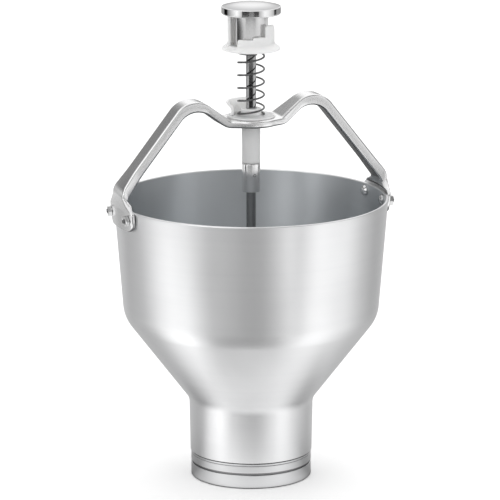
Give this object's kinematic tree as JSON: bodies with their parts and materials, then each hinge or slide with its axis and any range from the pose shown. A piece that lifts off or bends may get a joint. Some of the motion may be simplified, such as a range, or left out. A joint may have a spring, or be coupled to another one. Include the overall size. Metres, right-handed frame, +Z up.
{
  "type": "pancake batter dispenser",
  "caption": "Hand-held batter dispenser: metal funnel hopper with an arched handle, and a thumb knob on a sprung rod that drives a piston through its metering neck.",
  "frame": {"origin": "centre of the face that it stands on, the lower face of the metering cylinder", "axes": "+Z up along the hopper and the rod, +X along the handle, +Y away from the side that the picture shows most of"},
  "size_m": [0.2146, 0.2048, 0.3605],
  "materials": {
    "spun_aluminium": "spun and brushed round the axis, satin",
    "turned_aluminium": "fine turned, satin",
    "cast_aluminium": "cast and polished",
    "chrome": "bright polished",
    "polished_steel": "ground and polished",
    "spring_wire": "drawn wire, half bright",
    "fasteners": "bright",
    "nylon": "moulded, soft sheen",
    "seal": "matt, food grade"
  },
  "bodies": {
    "hopper_body": {"hopper": "spun_aluminium", "metering_cylinder": "turned_aluminium", "cylinder_seal": "seal", "handle": "cast_aluminium", "guide_bush": "nylon", "spring": "spring_wire", "handle_screw_1": "fasteners", "handle_screw_2": "fasteners", "handle_screw_3": "fasteners", "handle_screw_4": "fasteners", "handle_nut_1": "fasteners", "handle_nut_2": "fasteners", "handle_nut_3": "fasteners", "handle_nut_4": "fasteners"},
    "plunger": {"thumb_knob": "chrome", "knob_core": "chrome", "upper_rod": "polished_steel", "spring_washer": "polished_steel", "coupling_sleeve": "chrome", "lower_rod": "polished_steel", "piston": "turned_aluminium", "piston_seal": "seal", "spacer_tube": "polished_steel", "valve_disc": "turned_aluminium", "end_nut": "fasteners", "index_pin": "polished_steel", "coupling_screw": "fasteners"},
    "dial": {"portion_dial": "nylon"}
  },
  "joints": [
    {"name": "plunger_slide", "type": "slide", "parent": "hopper_body", "child": "plunger", "axis": [0, 0, -1], "range_m": [0, 0.0384], "stiffness_N_per_m": 550, "springref_m": -0.02, "deforming": ["spring"]},
    {"name": "dial_turn", "type": "hinge", "parent": "plunger", "child": "dial", "pos_m": [0, 0, 0.3255], "axis": [0, 0, 1], "range_deg": [-8, 242]}
  ]
}
